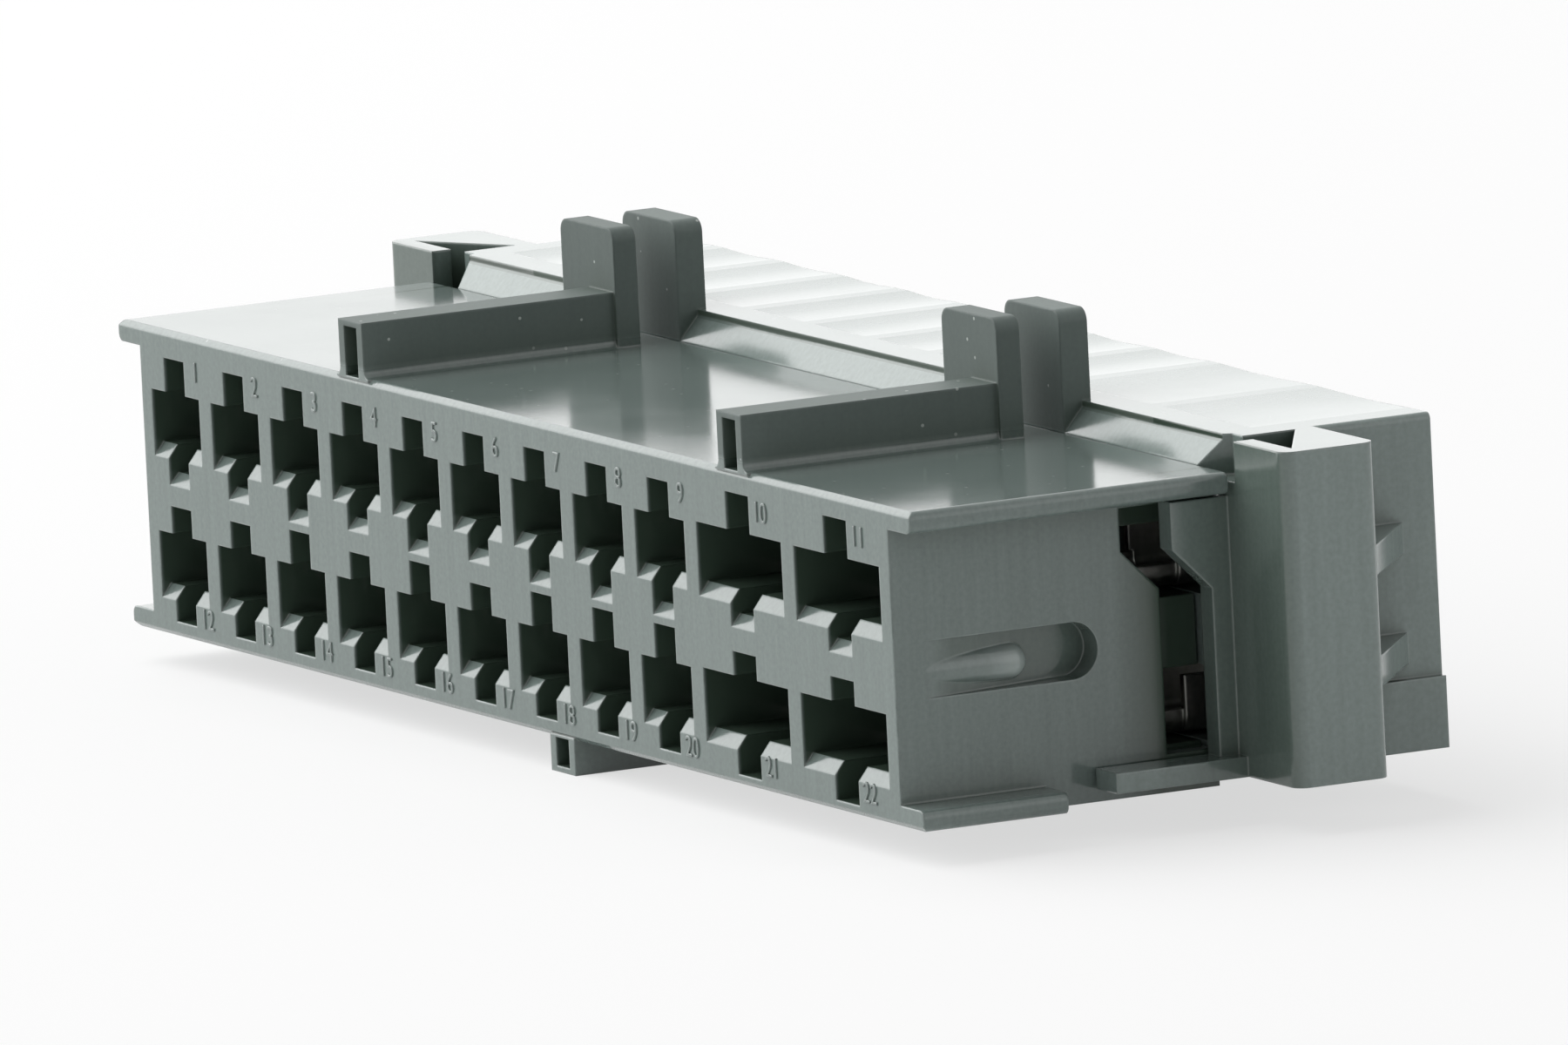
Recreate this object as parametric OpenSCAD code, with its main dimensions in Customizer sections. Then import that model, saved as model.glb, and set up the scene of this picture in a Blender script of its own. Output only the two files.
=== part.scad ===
// Wire harness connector with two rows of blade cavities, nine narrow and two wide columns.
// A contact housing carries the terminals, and a rear cover latches on behind it.
// The mating face looks along -Y, +Z is up, and the origin is under the middle of the part.

/* [Cavities] */
// Narrow columns in each row
narrow_columns = 9; // [3:1:9]
// Wide columns in each row, at the right end
wide_columns = 2; // [1:1:2]
// Width of a narrow chamber
narrow_chamber_w = 4.15; // [3.9:0.05:5]
// Width of a wide chamber
wide_chamber_w = 6.9; // [6.4:0.05:8]
// Height of every chamber
chamber_h = 2.8; // [2.6:0.05:3]
// Wall between neighbouring chambers
web = 0.85; // [0.6:0.05:1.4]
// Wall outside the last chamber of a row
end_wall = 0.75; // [0.6:0.05:1.2]
// Distance between the centres of the two rows
row_pitch = 5.4; // [5.3:0.05:6.5]
// Plastic above the upper notches
skin_top = 1.05; // [0.9:0.05:2]
// Plastic below the lower notches
skin_bottom = 0.6; // [0.5:0.05:1.5]

/* [Face openings] */
// Depth of the face wall in front of a narrow terminal
narrow_face_wall = 2.2; // [1.6:0.1:2.6]
// Depth of the face wall in front of a wide terminal
wide_face_wall = 3.6; // [3:0.1:3.9]
// How far a chamber is wider than its slot, on each side
slot_lip = 0.07; // [0.05:0.01:0.2]
// Height of a narrow slot
narrow_slot_h = 2.05; // [1.6:0.05:2.2]
// Height of a wide slot
wide_slot_h = 2.25; // [1.6:0.05:2.3]
// Width of the notch across a narrow slot
narrow_notch_w = 1.7; // [1.4:0.05:2]
// Width of the notch across a wide slot
wide_notch_w = 1.85; // [1.4:0.05:2.4]
// Reach of a narrow notch beyond its slot
narrow_reach = 1.3; // [1.2:0.05:1.4]
// Reach of a wide notch beyond its slot
wide_reach = 1.4; // [1.2:0.05:1.5]
// Shortening of the inner narrow notches where the bridge between the rows is thick
narrow_bridge = 0.25; // [0:0.05:0.35]
// Shortening of the inner wide notches
wide_bridge = 0.5; // [0:0.05:0.5]
// Depth at which the notches end in the shoulder that holds a terminal's lance
catch_depth = 7; // [6:0.1:8]
// Height of the sloped lead-in on the slots' lower lips
lead_in_h = 0.5; // [0.2:0.05:0.6]
// Height of the sloped lead-in on the bridges between the rows
bridge_lead_h = 0.45; // [0.2:0.05:0.6]
// Depth of the sloped lead-ins
lead_in_d = 0.4; // [0.2:0.05:0.8]

/* [Housing] */
// Depth of the housing, front to back
housing_d = 13; // [12.6:0.1:15]
// Thickness of the side flanges
flange_t = 0.8; // [0.6:0.05:1]
// Overhang of the side flanges beyond the end walls
flange_out = 1.75; // [1.3:0.05:3]
// Rounding of the outer flange edges
flange_round = 0.3; // [0.1:0.05:0.35]
// Length of the lower flanges, from the mating face
low_flange_d = 5.9; // [4:0.1:7]
// Bevel on the front edges
front_bevel = 0.2; // [0.05:0.05:0.3]

/* [Ribs and uprights] */
// Place of the left top rib, from the middle
left_rib_x = -12.55; // [-20:0.05:-6]
// Place of the right top rib, from the middle
right_rib_x = 18.3; // [8:0.05:24]
// Place of the bottom rib, from the middle
low_rib_x = 3.4; // [-8:0.05:12]
// Width of the ribs
rib_w = 1.95; // [1.6:0.05:3]
// Height of the top ribs
rib_h = 2.1; // [1.5:0.05:3]
// Height of the bottom rib
low_rib_h = 1.3; // [0.8:0.05:2]
// Length of the top ribs, from the mating face
rib_d = 10.5; // [9:0.1:11]
// Length of the bottom rib, from the mating face
low_rib_d = 12.6; // [11:0.1:12.6]
// Fillet at the foot of the top ribs
rib_fillet = 0.3; // [0.1:0.05:0.5]
// Wall of a rib around its cored front end
rib_wall = 0.45; // [0.3:0.05:0.6]
// Depth of the core in a rib's front end
rib_core_d = 6; // [2:0.1:8]
// Width of an upright
upright_w = 4.3; // [3:0.1:7]
// Thickness of a front upright
upright_t = 0.95; // [0.6:0.05:1.2]
// Height of a front upright above the housing
upright_h = 4.5; // [3:0.1:6]
// Rounding of an upright's top corners
upright_round = 0.5; // [0.2:0.05:1]
// Shift of an upright's middle from its rib
upright_shift = -1; // [-1.4:0.05:1.4]
// Thickness of a rear upright
rear_upright_t = 1.15; // [0.8:0.05:1.5]
// Height of a rear upright above the cover
rear_upright_h = 3.4; // [2:0.1:5]

/* [Side recess and latch window] */
// Start of the recess in the end wall, behind the mating face
recess_start = 1.2; // [0.8:0.1:2]
// End of the recess at the tip of its round nose
recess_end = 8.3; // [6:0.1:8.6]
// Height of the recess
recess_h = 2.1; // [1.4:0.1:2.2]
// Depth of the recess at its start
recess_shallow = 0; // [0:0.05:0.5]
// Depth of the recess at its nose
recess_deep = 1.1; // [0.5:0.05:1.2]
// Diameter of the round bar that stands in the recess
bar_dia = 1.3; // [0.8:0.05:1.6]
// Drop of the bar below the middle of the recess
bar_drop = 0.15; // [0:0.05:0.3]
// Gap between the bar's tip and the nose of the recess
bar_short = 2.7; // [1.5:0.1:4]
// Front edge of the latch window's upper part
window_upper_y = 9.4; // [9:0.1:9.8]
// Front edge of the latch window's lower part
window_lower_y = 10.9; // [10.5:0.1:11.2]
// Height of the latch window's upper part
window_upper_h = 1.6; // [1.2:0.05:3]
// Depth of the latch window into the end wall
window_cut = 1.3; // [1:0.05:1.5]

/* [Cover] */
// Depth of the cover, front to back
cover_d = 8.8; // [7.5:0.1:10]
// Overhang of the cover beyond the housing's end walls
cover_out = 0.8; // [0.6:0.05:1.2]
// Rise of the cover above the housing's top
cover_rise = 1.1; // [0.6:0.05:2.5]
// Rise of the cover's underside above the housing's underside
cover_lift = 0.5; // [0.2:0.05:0.8]
// Rounding of the cover's long edges
cover_round = 0.25; // [0.2:0.05:0.6]
// Depth of the shallow flutes along the cover's top
flute_h = 0.06; // [0.04:0.01:0.3]
// Depth of the slope along the cover's top front edge
slope_d = 0.8; // [0.3:0.05:1]
// Height of the upright lip above the slope
slope_lip = 0.2; // [0.1:0.05:0.4]
// Wall round the cored pockets in the cover's back
core_wall = 0.9; // [0.7:0.05:1.1]
// Depth of the cored pockets
core_d = 6.5; // [3:0.1:7]
// Lead-in at the wire entries
entry_bevel = 0.3; // [0.1:0.05:0.35]
// Reach of a side lug beyond the cover
lug_out = 4.75; // [3:0.05:6]
// Depth of a side lug, front to back
lug_d = 3.85; // [3:0.05:5]
// Front wall of a side lug, in front of its pocket
lug_wall = 0.8; // [0.6:0.05:1.2]
// Depth of the pocket in a lug's top
lug_pocket_h = 5.7; // [3:0.1:8]
// Rounding of a lug's upright edges
lug_round = 0.55; // [0.2:0.05:0.7]
// Set-back of the lugs behind the cover's front
lug_setback = 0.2; // [0:0.05:0.4]
// Thickness of the gussets behind a lug
gusset_t = 1.15; // [0.8:0.05:1.6]
// Length of the gussets along the cover
gusset_d = 3.4; // [2:0.1:4]
// Thickness of the latch arms beside the housing
arm_t = 0.95; // [0.7:0.05:1.1]
// Reach of the latch arm's upper part in front of the cover
arm_upper_d = 2.15; // [1.8:0.05:2.8]
// Reach of the latch arm's lower part in front of the cover
arm_lower_d = 0.6; // [0.4:0.05:1.2]
// Reach of the lower tongue in front of the cover
tongue_d = 5.2; // [4:0.1:6]
// Thickness of the lower tongue
tongue_t = 0.75; // [0.5:0.05:1]
// Inward reach of the latch tooth
tooth_in = 0.75; // [0.4:0.05:0.8]
// Depth of the latch tooth, front to back
tooth_d = 1.3; // [0.8:0.1:1.7]
// Step of the cover's lower skirt
skirt_out = 0.3; // [0.1:0.05:0.5]
// Height of the cover's lower skirt
skirt_h = 2.65; // [1.5:0.05:4]

/* [Terminals] */
// Thickness of the terminals' sheet
sheet_t = 0.35; // [0.25:0.05:0.4]
// Thickness of the mating blade
blade_t = 0.8; // [0.6:0.05:0.9]
// Length of a receptacle
receptacle_d = 5.5; // [5:0.1:5.6]
// Outer rounding of a receptacle's rolled sides
roll_r = 0.75; // [0.5:0.05:0.9]
// Gap between the rolled lips of a narrow receptacle
narrow_lip_gap = 0.8; // [0.5:0.05:1.2]
// Gap between the rolled lips of a wide receptacle
wide_lip_gap = 2; // [1:0.1:3]
// Width of a locking lance
lance_w = 1.2; // [0.8:0.05:1.3]
// Drop of a lance below its receptacle
lance_drop = 0.55; // [0.3:0.05:0.6]
// Length of a lance
lance_d = 2.5; // [2:0.1:3.5]
// Length of the neck behind a narrow receptacle
narrow_neck_d = 2.2; // [1.5:0.1:3]
// Length of the neck behind a wide receptacle
wide_neck_d = 3.6; // [2:0.1:4]
// Height of the neck's side walls
neck_h = 0.9; // [0.6:0.05:1.2]
// Length of the wire barrel
wire_barrel_d = 3; // [2:0.1:3.5]
// Length of the strip between the barrels
strip_d = 0.9; // [0.5:0.1:1.2]
// Length of the insulation barrel
grip_barrel_d = 2.8; // [2:0.1:3.2]
// Inner rounding where a neck's or barrel's sides bend up
bend_r = 0.3; // [0.1:0.05:0.4]
// Width of a narrow terminal's barrels
narrow_barrel_w = 2.6; // [2:0.1:3.4]
// Width of a wide terminal's barrels
wide_barrel_w = 4.2; // [3:0.1:5.5]

/* [Fits] */
// Gap between a terminal and its chamber
terminal_gap = 0.15; // [0.1:0.01:0.2]
// Gap between the cover and the housing
cover_gap = 0.1; // [0.05:0.01:0.2]
// Gap between the latch arms and the housing
arm_gap = 0.15; // [0.1:0.01:0.25]

/* [Hidden] */
$fn = 48;
// Overrun of every cut past the face that it opens
cut = 0.1;
rows = 2;
columns = narrow_columns + wide_columns;
thick_bridges = [0, 1, 3, 5];

// Column widths and centres, counted from the left
function is_wide(i) = i >= narrow_columns;
function chamber_w(i) = is_wide(i) ? wide_chamber_w : narrow_chamber_w;
function chamber_left(i) = i == 0 ? end_wall : chamber_left(i - 1) + chamber_w(i - 1) + web;
function column_x(i) = chamber_left(i) + chamber_w(i) / 2 - body_w / 2;
body_w = chamber_left(columns - 1) + chamber_w(columns - 1) + end_wall;
flange_w = body_w + 2 * flange_out;

// Row centres above the housing's underside, with row 0 below row 1
notch_top = narrow_slot_h / 2 + narrow_reach;
function row_z(r) = skin_bottom + notch_top + r * row_pitch;
mid_z = (row_z(0) + row_z(1)) / 2;
housing_h = row_z(1) + notch_top + skin_top;

// Face openings by column
function face_wall(i) = is_wide(i) ? wide_face_wall : narrow_face_wall;
function slot_w(i) = chamber_w(i) - 2 * slot_lip;
function slot_h(i) = is_wide(i) ? wide_slot_h : narrow_slot_h;
function notch_w(i) = is_wide(i) ? wide_notch_w : narrow_notch_w;
function reach(i) = is_wide(i) ? wide_reach : narrow_reach;
function has_thick_bridge(i) = len(search(i, thick_bridges)) > 0;
function inner_cut(i) = is_wide(i) ? wide_bridge : (has_thick_bridge(i) ? narrow_bridge : 0);
// Reach of a notch from its row's centre, shortened where row r has the bridge on that side
function notch_end(i, r, bridge_row) = slot_h(i) / 2 + reach(i) - (r == bridge_row ? inner_cut(i) : 0);

// Cover box, in the housing's own frame with the mating face at zero depth
cover_y = housing_d + cover_gap;
cover_w = body_w + 2 * cover_out;
cover_top = housing_h + cover_rise;
cover_back = cover_y + cover_d;
lug_y = cover_y + lug_setback;
lug_x = cover_w / 2 + lug_out;
arm_x = body_w / 2 + arm_gap;
arm_top = housing_h - flange_t - arm_gap;
arm_bottom = cover_lift;
window_top = arm_top - arm_gap;
window_bottom = cover_lift + tongue_t + arm_gap;
window_bend = window_top - window_upper_h;
bend_h = window_lower_y - window_upper_y;
tooth_y = cover_y - arm_upper_d + (arm_upper_d - tooth_d) / 2;

// Terminal sizes by column, with the lap of a neck or strip into the sections beside it
terminal_h = chamber_h - 2 * terminal_gap;
lap = 0.1;
function terminal_w(i) = chamber_w(i) - 2 * terminal_gap;
function lip_gap(i) = is_wide(i) ? wide_lip_gap : narrow_lip_gap;
function barrel_w(i) = is_wide(i) ? wide_barrel_w : narrow_barrel_w;
function neck_d(i) = is_wide(i) ? wide_neck_d : narrow_neck_d;
function neck_w(i) = barrel_w(i) - sheet_t;
function grip_w(i) = barrel_w(i) + 2 * sheet_t;
function terminal_y(i) = face_wall(i) + terminal_gap;

function two_digits(n) = str(n < 10 ? "0" : "", n);
function position(i, r) = i + 1 + (r == 1 ? 0 : columns);
function terminal_name(i, r) = str("terminal_", two_digits(position(i, r)));
TERMINALS = [for (r = [1, 0]) for (i = [0 : columns - 1]) terminal_name(i, r)];

// Moves a shape from the housing's frame to the part's frame
module placed() {
    translate([0, -cover_back / 2, low_rib_h]) children();
}

// Box from a low corner, centred across the width
module slab(width, y, z, depth, height) {
    translate([-width / 2, y, z]) cube([width, depth, height]);
}

// Extrudes an outline drawn in X and Z along the depth
module along_depth(y, depth) {
    translate([0, y + depth, 0]) rotate([90, 0, 0]) linear_extrude(depth) children();
}

// Extrudes an outline drawn in Y and Z across the width
module across_width(x, width) {
    translate([x, 0, 0]) rotate([90, 0, 90]) linear_extrude(width) children();
}

// Repeats a shape on the right end and mirrored on the left end
module both_ends() {
    children();
    mirror([1, 0, 0]) children();
}

// Rectangle with four round corners, centred
module round_rect(w, h, r) {
    square([w - 2 * r, h], center = true);
    square([w, h - 2 * r], center = true);
    for (sx = [-1, 1], sy = [-1, 1])
        translate([sx * (w / 2 - r), sy * (h / 2 - r)]) circle(r);
}

// Rectangle on the axis with two round lower corners
module trough(w, h, r) {
    intersection() {
        translate([0, h]) round_rect(w, 2 * h, r);
        translate([-w / 2, 0]) square([w, h]);
    }
}

// Cross-shaped opening of one column
module cross_opening(i, r) {
    up = notch_end(i, r, 0);
    down = notch_end(i, r, 1);
    square([slot_w(i), slot_h(i)], center = true);
    translate([-notch_w(i) / 2, -down]) square([notch_w(i), up + down]);
}

module notch_outline(i, r) {
    intersection() {
        cross_opening(i, r);
        square([notch_w(i), row_pitch * 2], center = true);
    }
}

// Cut that leaves a sloped lead-in on a lip, seen from the mating face
module lead_in(width, lip_z, height) {
    across_width(-width / 2, width)
        polygon([[-cut, lip_z + cut], [-cut, lip_z - height], [0, lip_z - height],
                 [lead_in_d, lip_z], [lead_in_d, lip_z + cut]]);
}

// Chamber, face opening, catch notches and lead-ins of one cavity
module cavity(i, r) {
    translate([column_x(i), 0, row_z(r)]) {
        along_depth(-cut, face_wall(i) + 2 * cut) cross_opening(i, r);
        along_depth(face_wall(i), catch_depth - face_wall(i)) notch_outline(i, r);
        slab(chamber_w(i), face_wall(i), -chamber_h / 2, housing_d - face_wall(i) + cut, chamber_h);
        lead_in(slot_w(i), -slot_h(i) / 2, lead_in_h);
        if (r == 1) lead_in(notch_w(i), -notch_end(i, r, 1), bridge_lead_h);
    }
}

// Body with its side flanges, long above and short below
module housing_body() {
    slab(body_w, 0, 0, housing_d, housing_h);
    translate([0, 0, housing_h - flange_t / 2])
        along_depth(0, housing_d) round_rect(flange_w, flange_t, flange_round);
    translate([0, 0, flange_t / 2])
        along_depth(0, low_flange_d) round_rect(flange_w, flange_t, flange_round);
}

// Upright plate with round top corners, standing on the ground of its own frame
module upright(y, depth, height) {
    sunk = height + upright_round;
    translate([upright_shift, 0, height - sunk / 2]) intersection() {
        along_depth(y, depth) round_rect(upright_w, sunk, upright_round);
        slab(upright_w, y, sunk / 2 - height - cut, depth, height + cut);
    }
}

// Fillet at the right foot of a rib
module foot_fillet() {
    translate([rib_w / 2, 0, 0]) along_depth(0, rib_d + cut) difference() {
        translate([-cut, -cut]) square(rib_fillet + cut);
        translate([rib_fillet, rib_fillet]) circle(rib_fillet);
    }
}

// Rib on the top with its upright, drawn from the top face up
module top_rib(x) {
    translate([x, 0, housing_h]) difference() {
        union() {
            slab(rib_w, 0, -cut, rib_d + cut, rib_h + cut);
            both_ends() foot_fillet();
            upright(rib_d, upright_t, upright_h);
        }
        slab(rib_w - 2 * rib_wall, -cut, 0, rib_core_d + cut, rib_h - rib_wall / 2);
    }
}

// Rib under the housing, drawn from the underside down
module low_rib() {
    translate([low_rib_x, 0, 0]) difference() {
        slab(rib_w, 0, -low_rib_h, low_rib_d, low_rib_h + cut);
        translate([0, 0, rib_wall / 2 - low_rib_h])
            slab(rib_w - 2 * rib_wall, -cut, 0, rib_core_d + cut, low_rib_h - rib_wall / 2);
    }
}

// Round-nosed recess in the right end wall that deepens to the back, round a standing bar
module side_recess() {
    wall_x = body_w / 2;
    nose_y = recess_end - recess_h / 2;
    tip_y = recess_end - bar_short - bar_dia / 2;
    translate([0, 0, mid_z]) difference() {
        intersection() {
            across_width(wall_x - recess_deep - cut, recess_deep + 2 * cut) union() {
                translate([recess_start, -recess_h / 2]) square([nose_y - recess_start, recess_h]);
                translate([nose_y, 0]) circle(recess_h / 2);
            }
            linear_extrude(2 * recess_h, center = true)
                polygon([[wall_x + cut, recess_start], [wall_x - recess_shallow, recess_start],
                         [wall_x - recess_deep, recess_end], [wall_x + cut, recess_end]]);
        }
        translate([wall_x - bar_dia / 2, 0, -bar_drop]) {
            rotate([-90, 0, 0]) cylinder(d = bar_dia, h = tip_y);
            translate([0, tip_y, 0]) sphere(d = bar_dia);
        }
    }
}

// Stepped window through the right end wall, open to the back
module latch_window() {
    across_width(body_w / 2 - window_cut, window_cut + cut)
        polygon([[window_upper_y, window_top], [window_upper_y, window_bend],
                 [window_lower_y, window_bend - bend_h], [window_lower_y, window_bottom],
                 [housing_d + cut, window_bottom], [housing_d + cut, window_top]]);
}

module front_edge_bevels() {
    for (z = [0, housing_h])
        translate([0, 0, z]) across_width(-flange_w, 2 * flange_w)
            rotate(45) square(front_bevel * sqrt(2), center = true);
}

module contact_housing() {
    color([0.30, 0.34, 0.33]) placed() {
        difference() {
            housing_body();
            for (i = [0 : columns - 1], r = [0 : rows - 1]) cavity(i, r);
            both_ends() side_recess();
            both_ends() latch_window();
            front_edge_bevels();
        }
        top_rib(left_rib_x);
        top_rib(right_rib_x);
        low_rib();
    }
}

// Cover's block with its flutes, before the holes
module cover_block() {
    h = cover_top - cover_lift;
    skirt_y = lug_y + lug_d - cut;
    difference() {
        union() {
            translate([0, 0, cover_lift + h / 2])
                along_depth(cover_y, cover_d) round_rect(cover_w, h, cover_round);
            slab(cover_w + 2 * skirt_out, skirt_y, cover_lift, cover_back - skirt_y, skirt_h);
        }
        for (i = [0 : columns - 1]) flute(i);
        front_slope();
    }
}

// Cut in front of the slope and its lip, above the housing's top
module front_slope() {
    slope_y = cover_y + slope_d;
    across_width(-cover_w, 2 * cover_w)
        polygon([[cover_y - cut, housing_h], [cover_y, housing_h], [slope_y, cover_top - slope_lip],
                 [slope_y, cover_top + cut], [cover_y - cut, cover_top + cut]]);
}

// Shallow round flute over one column, behind the uprights
module flute(i) {
    w = chamber_w(i);
    r = (w * w / 4 + flute_h * flute_h) / (2 * flute_h);
    start = cover_y + 2 * rear_upright_t;
    translate([column_x(i), start, cover_top - flute_h + r])
        rotate([-90, 0, 0]) cylinder(r = r, h = cover_back - start + cut);
}

// Wire entry of one cavity through the cover, bevelled at the back
module wire_entry(i, r) {
    translate([column_x(i), 0, row_z(r)]) {
        slab(chamber_w(i), cover_y - cut, -chamber_h / 2, cover_d + 2 * cut, chamber_h);
        translate([0, cover_back, 0]) for (s = [-1, 1])
            translate([0, 0, s * chamber_h / 2]) across_width(-chamber_w(i) / 2, chamber_w(i))
                rotate(45) square(entry_bevel * sqrt(2), center = true);
    }
}

// Pockets cored from the back, above each upper entry and between the rows
module core_pockets(i) {
    upper_z = row_z(1) + chamber_h / 2 + core_wall;
    middle_z = row_z(0) + chamber_h / 2 + core_wall;
    w = chamber_w(i) - web;
    y = cover_back - core_d;
    translate([column_x(i), 0, 0]) {
        slab(w, y, upper_z, core_d + cut, cover_top - core_wall - upper_z);
        slab(w, y, middle_z, core_d + cut, row_pitch - chamber_h - 2 * core_wall);
    }
}

// Side lug on the right end, with its gussets and the tongue below the latch arm
module lug() {
    inner_x = cover_w / 2 - cover_round - lug_round;
    lug_h = cover_top - cover_lift;
    back_y = lug_y + lug_d;
    gusset_zs = [mid_z + row_pitch / 2, mid_z - row_pitch / 4];
    translate([(inner_x + lug_x) / 2, lug_y + lug_d / 2, cover_lift])
        linear_extrude(lug_h) round_rect(lug_x - inner_x, lug_d, lug_round);
    for (z = gusset_zs) translate([0, 0, z - gusset_t / 2]) linear_extrude(gusset_t)
        polygon([[inner_x, back_y - lug_round], [lug_x - lug_round, back_y - lug_round],
                 [lug_x - lug_round, back_y], [cover_w / 2, back_y + gusset_d],
                 [inner_x, back_y + gusset_d]]);
    translate([arm_x, cover_y - tongue_d, cover_lift])
        cube([flange_w / 2 - arm_x, tongue_d + lug_setback + lug_round, tongue_t]);
}

// Three-cornered pocket inside a lug's top, behind its front wall
module lug_pocket() {
    front_y = lug_y + lug_wall;
    translate([0, 0, cover_top - lug_pocket_h]) linear_extrude(lug_pocket_h + cut)
        polygon([[cover_w / 2, front_y], [lug_x - lug_wall, front_y],
                 [cover_w / 2, lug_y + lug_d - lug_wall]]);
}

// Notch in the cover's top front corner, above the latch arm
module corner_notch() {
    floor_z = housing_h - flange_t / 2;
    back_y = lug_y + lug_wall + cut;
    translate([0, 0, floor_z]) linear_extrude(cover_top - floor_z + cut)
        polygon([[cover_w / 2 - 2 * cover_out, cover_y - cut], [flange_w / 2, cover_y - cut],
                 [flange_w / 2, back_y], [cover_w / 2 - cover_out, back_y]]);
}

// Latch arm beside the right end wall, with a tooth in the housing's window
module latch_arm() {
    upper_y = cover_y - arm_upper_d;
    lower_y = cover_y - arm_lower_d;
    bend = arm_upper_d - arm_lower_d;
    tooth_h = window_top - window_bend - 2 * arm_gap;
    across_width(arm_x, arm_t)
        polygon([[upper_y, arm_top], [upper_y, window_bend], [lower_y, window_bend - bend],
                 [lower_y, arm_bottom], [lug_y + cut, arm_bottom], [lug_y + cut, arm_top]]);
    translate([arm_x, 0, window_bend + arm_gap]) linear_extrude(tooth_h)
        polygon([[cut, tooth_y], [cut, tooth_y + tooth_d], [-tooth_in, tooth_y + tooth_d], [0, tooth_y]]);
}

// Upright on the cover, which reaches down through the slope
module rear_upright(x) {
    translate([x, 0, housing_h]) upright(cover_y, rear_upright_t, cover_rise + rear_upright_h);
}

module rear_cover() {
    color([0.27, 0.31, 0.30]) placed() {
        difference() {
            union() {
                cover_block();
                both_ends() lug();
                both_ends() latch_arm();
            }
            for (i = [0 : columns - 1], r = [0 : rows - 1]) wire_entry(i, r);
            for (i = [0 : columns - 1]) core_pockets(i);
            both_ends() lug_pocket();
            both_ends() corner_notch();
        }
        rear_upright(left_rib_x);
        rear_upright(right_rib_x);
    }
}

// Outline of a receptacle: flat floor, rolled sides and two lips that press on the blade
module receptacle_outline(i) {
    w = terminal_w(i);
    lip_drop = terminal_h - sheet_t - blade_t;
    translate([0, terminal_h / 2]) difference() {
        round_rect(w, terminal_h, roll_r);
        round_rect(w - 2 * sheet_t, terminal_h - 2 * sheet_t, roll_r - sheet_t);
        translate([-lip_gap(i) / 2, 0]) square([lip_gap(i), terminal_h]);
    }
    for (s = [-1, 1])
        translate([s * (lip_gap(i) + sheet_t) / 2 - sheet_t / 2, terminal_h - lip_drop])
            square([sheet_t, lip_drop]);
}

// Open barrel or neck, a trough of bent sheet
module sheet_trough(w, h) {
    difference() {
        trough(w, h, bend_r + sheet_t);
        translate([0, sheet_t]) trough(w - 2 * sheet_t, h, bend_r);
    }
}

// Lance cut from the receptacle's floor and bent down, tip to the back
module lance() {
    tip_y = catch_depth - terminal_gap;
    across_width(-lance_w / 2, lance_w)
        polygon([[tip_y - lance_d, 0], [tip_y - lance_d, sheet_t],
                 [tip_y, sheet_t - lance_drop], [tip_y, -lance_drop]]);
}

module lance_window() {
    slot = lance_w + 2 * terminal_gap;
    slab(slot, catch_depth - terminal_gap - lance_d + sheet_t, -cut, lance_d, sheet_t + 2 * cut);
}

// Terminal of column i in row r, its floor towards the underside
module terminal(i, r) {
    neck_y = terminal_y(i) + receptacle_d;
    barrel_y = neck_y + neck_d(i);
    strip_y = barrel_y + wire_barrel_d;
    grip_y = strip_y + strip_d;
    color([0.78, 0.66, 0.38]) placed() translate([column_x(i), 0, row_z(r) - terminal_h / 2]) {
        difference() {
            along_depth(terminal_y(i), receptacle_d) receptacle_outline(i);
            lance_window();
        }
        lance();
        along_depth(neck_y - lap, neck_d(i) + 2 * lap) sheet_trough(neck_w(i), neck_h);
        along_depth(barrel_y, wire_barrel_d) sheet_trough(barrel_w(i), terminal_h - sheet_t);
        along_depth(strip_y - lap, strip_d + 2 * lap) sheet_trough(neck_w(i), neck_h);
        along_depth(grip_y, grip_barrel_d) sheet_trough(grip_w(i), terminal_h);
    }
}

contact_housing();
rear_cover();
for (r = [1, 0], i = [0 : columns - 1])
    terminal(i, r);
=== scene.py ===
"""Looks of a two-row wire harness connector: moulded plastic, tinned terminals and a white studio."""
import math

import bpy
from mathutils import Matrix, Vector


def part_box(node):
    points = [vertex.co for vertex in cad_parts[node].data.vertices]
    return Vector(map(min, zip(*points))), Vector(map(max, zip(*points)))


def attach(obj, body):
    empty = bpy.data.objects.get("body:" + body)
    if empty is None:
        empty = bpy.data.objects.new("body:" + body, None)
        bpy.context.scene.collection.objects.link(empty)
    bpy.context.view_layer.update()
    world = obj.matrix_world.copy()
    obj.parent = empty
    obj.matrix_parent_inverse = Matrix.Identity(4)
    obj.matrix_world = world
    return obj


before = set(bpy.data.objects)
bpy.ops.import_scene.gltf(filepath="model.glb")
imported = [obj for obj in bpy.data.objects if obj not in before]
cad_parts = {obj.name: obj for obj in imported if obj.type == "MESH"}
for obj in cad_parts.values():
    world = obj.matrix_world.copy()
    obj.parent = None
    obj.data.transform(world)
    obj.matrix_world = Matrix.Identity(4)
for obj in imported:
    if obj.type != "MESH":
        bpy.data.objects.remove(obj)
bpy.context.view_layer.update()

MM = 0.001

# Camera of the photograph, in the part's frame
CAMERA_AIM = Vector((-0.9, 0.8, 7.5)) * MM
CAMERA_AZIMUTH = math.radians(63.2)
CAMERA_ELEVATION = math.radians(8.77)
CAMERA_ROLL = math.radians(2.87)
CAMERA_DISTANCE = 1267.4 * MM
CAMERA_LENS_MM = 785.95
CAMERA_REACH = 100
SENSOR_WIDTH_MM = 36.0

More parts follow.
